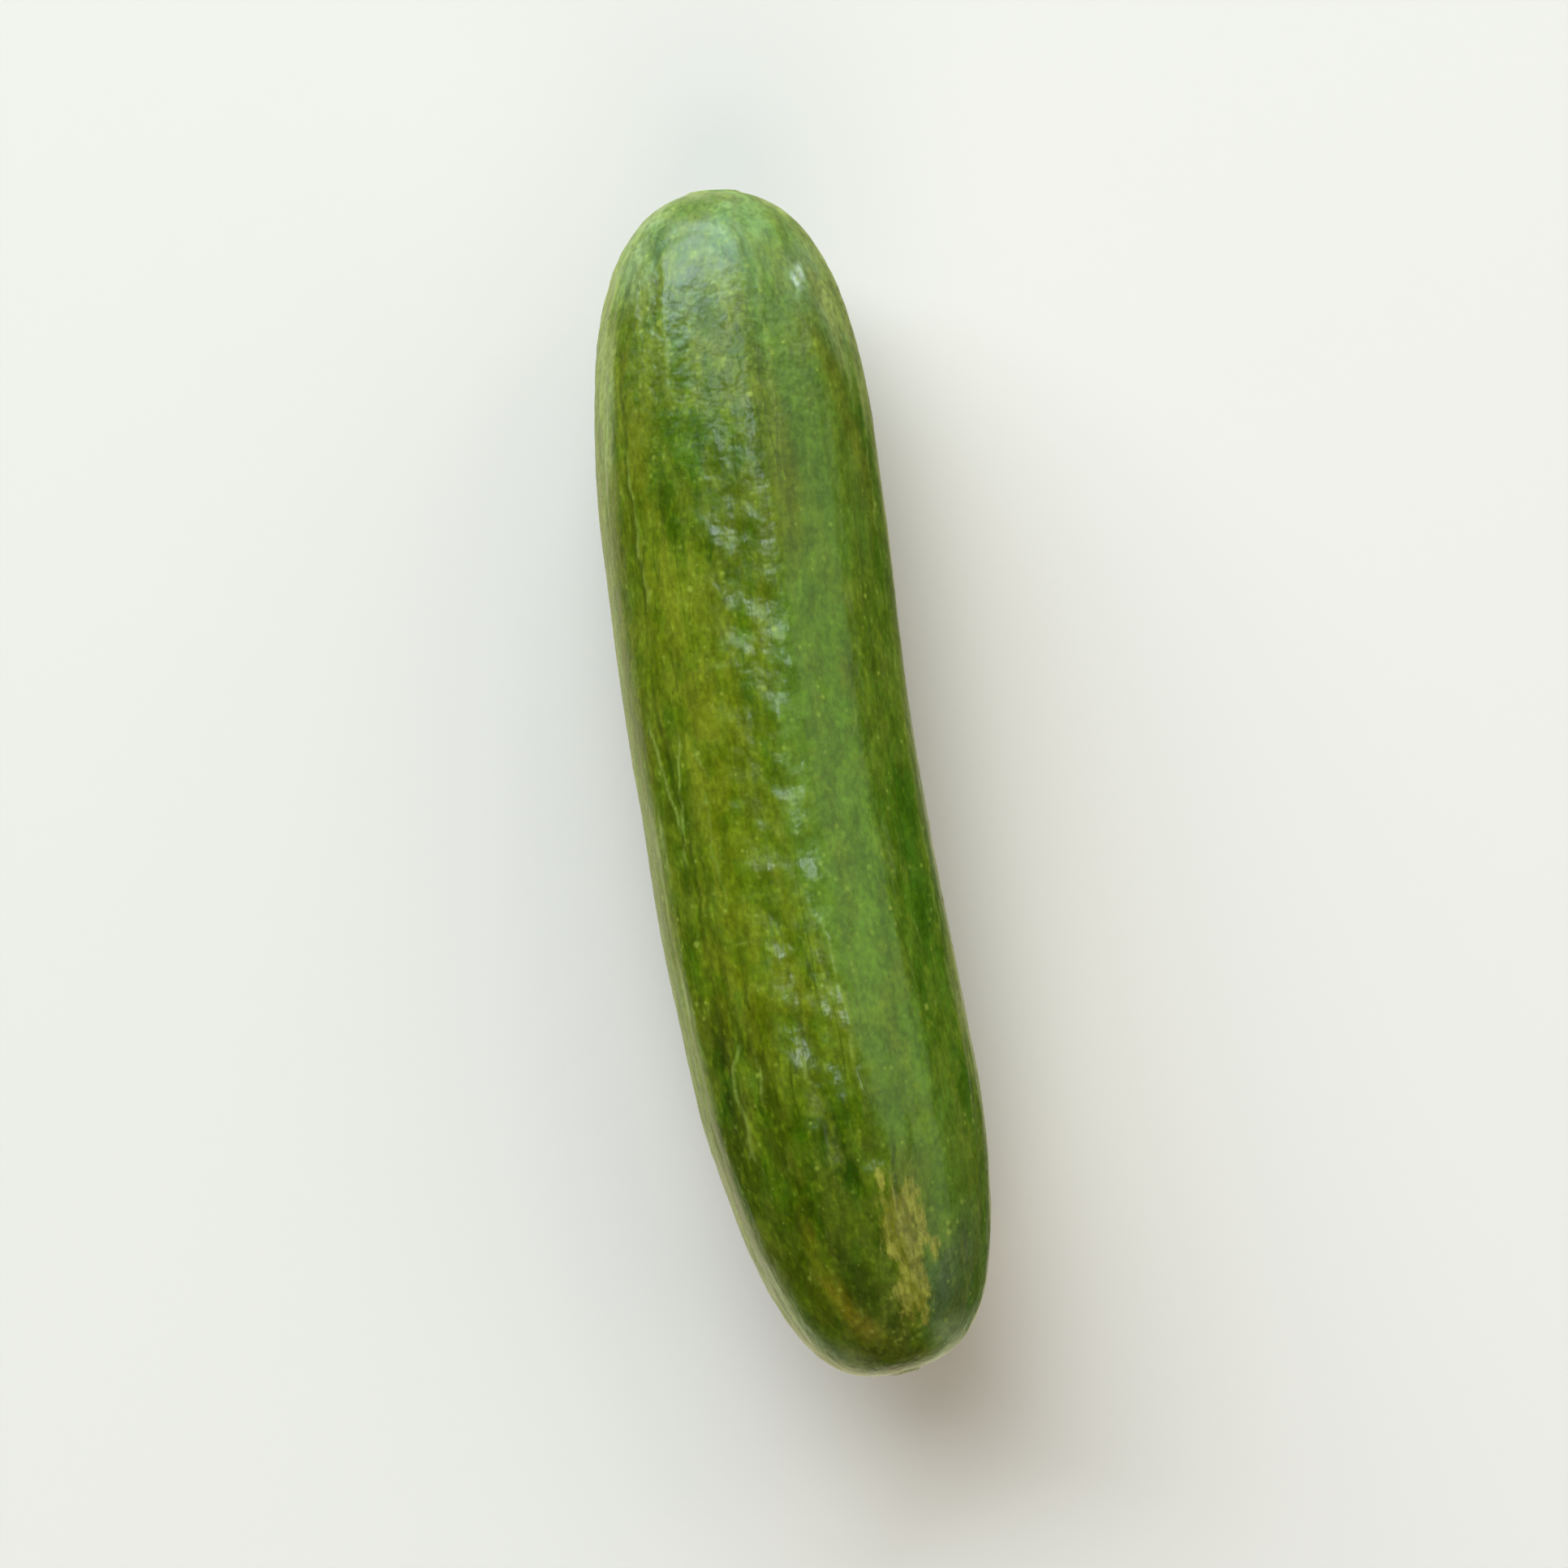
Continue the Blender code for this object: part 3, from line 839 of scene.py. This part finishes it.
def multiply(tree, *factors):
    result = factors[0]
    for factor in factors[1:]:
        result = calculate(tree, "MULTIPLY", result, factor)
    return result


def ramp(tree, value, start, end, low=0.0, high=1.0):
    sockets = {"Value": value, "From Min": start, "From Max": end, "To Min": low, "To Max": high}
    return addNode(tree, "ShaderNodeMapRange", sockets, interpolation_type="SMOOTHSTEP").outputs[0]


def newGroup(name, **inputs):             # takes a place and numbers, gives a mask
    group = bpy.data.node_groups.new(name, "ShaderNodeTree")
    group.interface.new_socket("Place", in_out="INPUT", socket_type="NodeSocketVector")
    for label, value in inputs.items():
        socket = group.interface.new_socket(label, in_out="INPUT", socket_type="NodeSocketFloat")
        socket.default_value = value
    group.interface.new_socket("Mask", in_out="OUTPUT", socket_type="NodeSocketFloat")
    given = group.nodes.new("NodeGroupInput").outputs
    return group, given, group.nodes.new("NodeGroupOutput").inputs["Mask"]


def useGroup(tree, group, **inputs):
    return addNode(tree, "ShaderNodeGroup", inputs, node_tree=group).outputs["Mask"]


def drawnOut(tree, place, length, width, shift):
    along = calculate(tree, "DIVIDE", 1.0, length)
    across = calculate(tree, "DIVIDE", 1.0, width)
    stretch = addNode(tree, "ShaderNodeCombineXYZ", {"X": along, "Y": across, "Z": across})
    away = addNode(tree, "ShaderNodeCombineXYZ", {"X": shift, "Y": shift, "Z": shift})
    return addNode(tree, "ShaderNodeVectorMath",
                   {0: place, 1: stretch.outputs[0], 2: away.outputs[0]},
                   operation="MULTIPLY_ADD").outputs[0]


# noise over a place that is drawn out by a length and a width, and shifted
def grainAt(tree, place, length, width, shift, detail, roughness):
    drawn = drawnOut(tree, place, length, width, shift)
    return addNode(tree, "ShaderNodeTexNoise", {"Vector": drawn, "Scale": 1.0, "Detail": detail,
                                                "Roughness": roughness}).outputs["Fac"]


def makeStreaks():                        # noise drawn out along the fruit
    group, given, result = newGroup("lengthwiseStreaks", Length=10.0, Width=1.0, Detail=2.0,
                                    From=0.4, To=0.6, Shift=0.0)
    grain = grainAt(group, given["Place"], given["Length"], given["Width"], given["Shift"],
                    given["Detail"], 0.5)
    group.links.new(ramp(group, grain, given["From"], given["To"]), result)
    return group


def makeCreases():                        # thin lines where drawn-out noise crosses its middle
    group, given, result = newGroup("thinCreases", Length=20.0, Width=3.0, Thickness=0.02,
                                    Share=0.5, Shift=0.0)
    middle, softness = 0.5, 0.08
    place = drawnOut(group, given["Place"], given["Length"], given["Width"], given["Shift"])
    grain = addNode(group, "ShaderNodeTexNoise",
                    {"Vector": place, "Scale": 1.0, "Detail": 1.5, "Roughness": 0.5})
    off = calculate(group, "ABSOLUTE",
                    calculate(group, "SUBTRACT", grain.outputs["Fac"], middle))
    line = ramp(group, off, 0.0, given["Thickness"], 1.0, 0.0)
    gaps = addNode(group, "ShaderNodeTexNoise", {"Vector": place, "Scale": 1.3, "Detail": 0.0})
    limit = calculate(group, "SUBTRACT", 1.0, given["Share"])
    kept = ramp(group, gaps.outputs["Fac"], calculate(group, "SUBTRACT", limit, softness),
                calculate(group, "ADD", limit, softness))
    group.links.new(multiply(group, line, kept), result)
    return group


def makeSpecks():                         # round dots, some cells of a grid left empty
    group, given, result = newGroup("scatteredSpecks", Spacing=2.0, Size=0.3, Share=0.5)
    smallest, core = 0.5, 0.15            # of a dot's size, and of its radius
    scale = calculate(group, "DIVIDE", 1.0, given["Spacing"])
    cells = addNode(group, "ShaderNodeTexVoronoi",
                    {"Vector": given["Place"], "Scale": scale, "Randomness": 1.0})
    distance = multiply(group, cells.outputs["Distance"], given["Spacing"])
    draw = addNode(group, "ShaderNodeSeparateColor", {"Color": cells.outputs["Color"]})
    size = multiply(group, given["Size"],
                    calculate(group, "ADD", draw.outputs["Green"], smallest))
    dot = ramp(group, distance, multiply(group, size, core), size, 1.0, 0.0)
    kept = calculate(group, "LESS_THAN", draw.outputs["Red"], given["Share"])
    group.links.new(multiply(group, dot, kept), result)
    return group


# What the material adds. A range is where it starts and ends, then the values at both.
# A grain is its length, width, shift, detail and roughness.
finish = {
    "calmStreaks": -0.65,                 # change of the streaks where the skin is calm
    "lateStreaks": (90.0, 106.0, 1.0, 0.70),
    # painted warm reflection of the golden patches: its ragged edge, tones and strength
    "tornGrain": (4.0, 0.90, 23.0, 4.0, 0.62),
    "tornSize": 1.7,
    "tornEdge": (0.03, 0.42),
    "warmShineGrain": (0.42, 0.62),
    "warmShineStrength": 0.74,
    "cloudGrain": (3.0, 2.0, 5.0, 4.0, 0.65),
    "clouds": (0.30, 0.70, 0.80, 1.20),
    "fineGrain": (0.75, 0.50, 0.0, 2.0, 0.5),
    "grains": (0.28, 0.72, 0.84, 1.16),
    "smallSpecks": {"Spacing": 0.9, "Size": 0.30, "Share": 0.50},
    "smallByCloud": (0.44, 0.62, 0.05, 0.36),
    "largeSpecks": {"Spacing": 2.6, "Size": 0.38, "Share": 0.16},
    "largeByStation": (76.0, 96.0, 0.50, 0.28),
    "wartTone": 0.18,
    "rings": {"Length": 1.1, "Width": 1.3, "Thickness": 0.05, "Share": 0.60, "Shift": 51.0},
    "ringTone": 0.32,
    "strokeGaps": (0.34, 0.58, 0.15, 1.0),
    "strokeWidth": 1.5,                   # half widths
    "longCreases": {"Length": 26.0, "Width": 2.6, "Thickness": 0.014, "Share": 0.46, "Shift": 2.0},
    "shortCreases": {"Length": 6.0, "Width": 1.5, "Thickness": 0.018, "Share": 0.40, "Shift": 8.0},
    "shortTone": 0.6,
    "creaseTone": 0.50,
    "fibres": {"Scale": 1.1, "Detail": 5.0, "Roughness": 0.7},
    "fibreTones": (0.35, 0.65),
    "nubFrom": (100.0, 110.0),
    "roughByCloud": (0.3, 0.7, 0.20, 0.32),
    "roughStem": (20.0, 34.0, 0.09, 0.0),
    "roughTip": (5.0, 12.0, 0.07, 0.0),
    "roughCalm": 0.03,
    "roughCork": 0.35,
    "ior": 1.45,
    "pebbleGrain": (0.85, 0.95, 3.0, 1.0, 0.5),
    "pebbleHeight": (17.0, 32.0, 0.13, 0.05),
    "pebbleTip": (6.0, 11.0, 0.3, 1.0),
    "threadGrain": (3.2, 0.7, 6.0, 1.0, 0.5),
    "threadHeight": (60.0, 98.0, 0.02, 0.08),
    "fineHeight": 0.016,
}


def readMarks(tree):                      # sockets with what growSkin kept
    def kept(name):
        return addNode(tree, "ShaderNodeAttribute", attribute_name=name).outputs["Vector"]

    marks = {"place": kept("skinPlace"), "ground": kept("skinGround")}
    labels = {
        "skinPlace": ("station",),
        "skinDark": ("darkNear", "darkStrength", "calm"),
        "skinPale": ("paleNear", "paleStrength", "wart"),
        "skinMarks": ("paintedWarmShine", "pebbled", "cork"),
    }
    for name, parts in labels.items():
        split = addNode(tree, "ShaderNodeSeparateXYZ", {0: kept(name)})
        marks.update(zip(parts, split.outputs))
    return marks


def skinColour(tree, marks, cloud, fine):
    streaks, creaseLines, specks = makeStreaks(), makeCreases(), makeSpecks()
    place, station, colour = marks["place"], marks["station"], marks["ground"]

    def add(mask, strength, name):
        return blendColour(tree, multiply(tree, mask, strength), colour, tint(name))

    # streaks along it, coarse to fine
    lively = multiply(tree,
                      calculate(tree, "MULTIPLY_ADD", marks["calm"], finish["calmStreaks"], 1.0),
                      ramp(tree, station, *finish["lateStreaks"]))
    for length, width, detail, start, end, shift, strength, name in streakLayers:
        mask = useGroup(tree, streaks, Place=place, Length=length, Width=width, Detail=detail,
                        From=start, To=end, Shift=shift)
        colour = add(multiply(tree, mask, strength), lively, name)

    # painted warm reflection: the golden patches
    torn = grainAt(tree, place, *finish["tornGrain"])
    uneven = calculate(tree, "MULTIPLY_ADD", calculate(tree, "SUBTRACT", torn, 0.5),
                       finish["tornSize"], marks["paintedWarmShine"])
    paintedWarmShineShare = multiply(tree, ramp(tree, uneven, *finish["tornEdge"]), finish["warmShineStrength"])
    warmShineTone = blendColour(tree, ramp(tree, torn, *finish["warmShineGrain"]), tint("warmShineDeepTone"), tint("warmShineTone"))
    colour = blendColour(tree, paintedWarmShineShare, colour, warmShineTone)

    # clouds, grains and dots
    mottling = multiply(tree, ramp(tree, cloud, *finish["clouds"]),
                        ramp(tree, fine, *finish["grains"]))
    colour = addNode(tree, "ShaderNodeVectorMath", {0: colour, 1: mottling},
                     operation="MULTIPLY").outputs[0]
    small = useGroup(tree, specks, Place=place, **finish["smallSpecks"])
    large = useGroup(tree, specks, Place=place, **finish["largeSpecks"])
    colour = add(small, ramp(tree, cloud, *finish["smallByCloud"]), "fleck")
    colour = add(large, ramp(tree, station, *finish["largeByStation"]), "fleck")
    colour = add(marks["wart"], finish["wartTone"], "pale")

    # painted shade: dark rings in the hollows round the pebbles, near the stem and along the top
    rings = useGroup(tree, creaseLines, Place=place, **finish["rings"])
    colour = add(multiply(tree, rings, marks["pebbled"]), finish["ringTone"], "shade")

    # creases and ridge lines: painted shade along the creases, painted highlight along the ridges
    gaps = ramp(tree, cloud, *finish["strokeGaps"])
    for kind, name in (("dark", "shade"), ("pale", "ridge")):
        line = ramp(tree, marks[kind + "Near"], 0.0, finish["strokeWidth"], 1.0, 0.0)
        colour = add(multiply(tree, line, marks[kind + "Strength"]), gaps, name)
    long = useGroup(tree, creaseLines, Place=place, **finish["longCreases"])
    short = useGroup(tree, creaseLines, Place=place, **finish["shortCreases"])
    creases = calculate(tree, "MAXIMUM", long, multiply(tree, short, finish["shortTone"]))
    colour = add(multiply(tree, creases, lively), finish["creaseTone"], "shade")

    # the dry tissue of both tips
    fibres = addNode(tree, "ShaderNodeTexNoise", {"Vector": place, **finish["fibres"]})
    dry = blendColour(tree, ramp(tree, fibres.outputs["Fac"], *finish["fibreTones"]),
                      tint("corkDark"), tint("cork"))
    dry = blendColour(tree, ramp(tree, station, *finish["nubFrom"]), dry, tint("nub"))
    return blendColour(tree, marks["cork"], colour, dry)


def skinRoughness(tree, marks, cloud):
    rough = ramp(tree, cloud, *finish["roughByCloud"])
    for limits in (finish["roughStem"], finish["roughTip"]):
        rough = calculate(tree, "ADD", rough, ramp(tree, marks["station"], *limits))
    rough = calculate(tree, "MULTIPLY_ADD", marks["calm"], finish["roughCalm"], rough)
    return calculate(tree, "MULTIPLY_ADD", marks["cork"], finish["roughCork"], rough)


def skinHeight(tree, marks, fine):        # in millimetres
    place, station = marks["place"], marks["station"]
    height = multiply(tree, grainAt(tree, place, *finish["pebbleGrain"]),
                      ramp(tree, station, *finish["pebbleHeight"]),
                      ramp(tree, station, *finish["pebbleTip"]))
    height = calculate(tree, "MULTIPLY_ADD", grainAt(tree, place, *finish["threadGrain"]),
                       ramp(tree, station, *finish["threadHeight"]), height)
    return calculate(tree, "MULTIPLY_ADD", fine, finish["fineHeight"], height)


def makeSkinMaterial():
    material = bpy.data.materials.new("cucumberSkin")
    material.use_nodes = True
    tree = material.node_tree
    shader = tree.nodes["Principled BSDF"]
    marks = readMarks(tree)
    cloud = grainAt(tree, marks["place"], *finish["cloudGrain"])
    fine = grainAt(tree, marks["place"], *finish["fineGrain"])
    bump = addNode(tree, "ShaderNodeBump", {"Strength": 1.0, "Distance": mm,
                                            "Height": skinHeight(tree, marks, fine)})
    tree.links.new(skinColour(tree, marks, cloud, fine), shader.inputs["Base Color"])
    tree.links.new(skinRoughness(tree, marks, cloud), shader.inputs["Roughness"])
    tree.links.new(bump.outputs["Normal"], shader.inputs["Normal"])
    shader.inputs["IOR"].default_value = finish["ior"]
    return material


def makeCucumber():
    piece = turnStraightFruit()
    growSkin(piece)
    bpy.ops.object.shade_smooth()
    piece.data.materials.append(makeSkinMaterial())
    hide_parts("cucumber")
    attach(piece, "root")
    print("cucumber:", len(piece.data.polygons), "faces")


# The room: floor, air and lights, in metres. Heights are of a direction, from -1 to 1.
room = {
    "floorSize": 3.6,
    "floor": (228, 210, 194),
    "floorShade": 0.97,
    "floorClouds": {"Scale": 3.0, "Detail": 2.0},
    "floorRoughness": 0.9,
    "floorSpecular": 0.1,
    "backdrop": (0.86, 0.86, 0.85),       # what the camera sees past the floor
    "zenith": (0.010, 0.012, 0.013),
    "horizon": (0.05, 0.055, 0.05),
    "below": (0.03, 0.045, 0.005),        # what the skin mirrors just under the horizon
    "rim": (1.0, 0.94, 0.62),             # and from there down, which draws a pale rim
    "zenithHeights": (0.0, 0.5),
    "horizonHeights": (-0.15, 0.05),
    "rimHeights": (-0.85, -0.20),
    "innerRim": (0.1, 0.6, 1.0, 0.22),    # how it fades towards the inner side of the bow
    "middleRim": (0.05, 0.28, 0.60, 1.0), # and grows from the middle towards the ends
    "lightDistance": 3.0,
}
# name: direction to the light, width and height, brightness, colour, what it is for
lights = {
    "endWindow": ((0.80, 0.20, 0.48), (4.8, 2.2), 5.8, (0.74, 0.98, 1.20), "both"),
    "highWindow": ((0.50, 0.04, 0.86), (2.6, 1.3), 1.95, (0.82, 1.0, 1.10), "both"),
    "stemSide": ((0.62, -0.66, 0.42), (2.4, 2.0), 1.3, (0.92, 1.0, 1.0), "both"),
    "sidePanel": ((0.03, -0.82, 0.57), (4.2, 2.8), 0.66, (0.90, 1.0, 0.90), "both"),
    "topLamp": ((0.21, -0.14, 0.97), (0.45, 0.55), 15.0, (0.80, 0.94, 1.0), "shine"),
    "endFill": ((-0.75, 0.05, 0.66), (3.0, 3.0), 1.15, (1.0, 1.0, 0.94), "fill"),
}


def makeFloor():
    bpy.ops.mesh.primitive_plane_add(size=room["floorSize"], location=(0, 0, low.z))
    floor = bpy.context.object
    floor.name = "floor"
    material = bpy.data.materials.new("paleFloor")
    material.use_nodes = True
    tree = material.node_tree
    place = addNode(tree, "ShaderNodeTexCoord").outputs["Object"]
    cloud = addNode(tree, "ShaderNodeTexNoise", {"Vector": place, **room["floorClouds"]})
    pale = tint("floor", room)
    shaded = (*[room["floorShade"] * channel for channel in pale[:3]], 1.0)
    colour = blendColour(tree, cloud.outputs["Fac"], shaded, pale)
    shader = tree.nodes["Principled BSDF"]
    tree.links.new(colour, shader.inputs["Base Color"])
    shader.inputs["Roughness"].default_value = room["floorRoughness"]
    shader.inputs["Specular IOR Level"].default_value = room["floorSpecular"]
    floor.data.materials.append(material)
    floor.visible_glossy = False          # the skin mirrors the air instead


def makeAir():                            # dim, but pale to the camera
    world = bpy.data.worlds.new("studioAir")
    bpy.context.scene.world = world
    world.use_nodes = True
    tree = world.node_tree
    toward = addNode(tree, "ShaderNodeTexCoord").outputs["Generated"]
    split = addNode(tree, "ShaderNodeSeparateXYZ", {0: toward}).outputs
    height, inward = split["Z"], multiply(tree, split["Y"], -1.0)
    outer = ramp(tree, inward, *room["innerRim"])
    ends = ramp(tree, calculate(tree, "ABSOLUTE", split["X"]), *room["middleRim"])
    steep = multiply(tree, ramp(tree, height, *room["rimHeights"], 1.0, 0.0), outer, ends)
    below = blendColour(tree, steep, (*room["below"], 1.0), (*room["rim"], 1.0))
    above = blendColour(tree, ramp(tree, height, *room["zenithHeights"]),
                        (*room["horizon"], 1.0), (*room["zenith"], 1.0))
    dim = blendColour(tree, ramp(tree, height, *room["horizonHeights"]), below, above)
    seen = addNode(tree, "ShaderNodeLightPath").outputs["Is Camera Ray"]
    colour = blendColour(tree, seen, dim, (*room["backdrop"], 1.0))
    tree.links.new(colour, tree.nodes["Background"].inputs["Color"])


def makeLights():
    for name, (direction, size, brightness, colour, purpose) in lights.items():
        toLight = Vector(direction).normalized()
        bpy.ops.object.light_add(type="AREA", location=toLight * room["lightDistance"],
                                 rotation=toLight.to_track_quat("Z", "Y").to_euler())
        light = bpy.context.object
        light.name = name
        light.visible_camera = False
        light.visible_diffuse = purpose != "shine"
        light.visible_glossy = purpose != "fill"
        light.data.shape = "ELLIPSE"
        light.data.size, light.data.size_y = size
        light.data.energy = brightness * math.pi * size[0] * size[1]
        light.data.color = colour


def makeCamera():
    tilt = math.radians(photo["tilt"])
    up = Vector((math.cos(tilt), -math.sin(tilt), 0.0))
    target = 0.5 * (low + high)
    eye = target + Vector((*viewOffset(), photo["height"])) * mm
    back = (eye - target).normalized()
    across = up.cross(back).normalized()
    turn = Matrix((across, back.cross(across), back)).transposed()
    bpy.ops.object.camera_add(location=eye, rotation=turn.to_euler())
    camera = bpy.context.object
    view = photo["side"] * photo["mmPerPixel"] * mm / photo["zoom"]
    camera.data.sensor_width = photo["sensor"]
    camera.data.lens = photo["sensor"] * (eye - target).length / view
    camera.data.clip_start = photo["clipStart"]
    bpy.context.scene.camera = camera


makeCucumber()
makeFloor()
makeAir()
makeLights()
makeCamera()
bpy.context.scene.view_settings.view_transform = "Standard"
print("room, lights and camera ready")
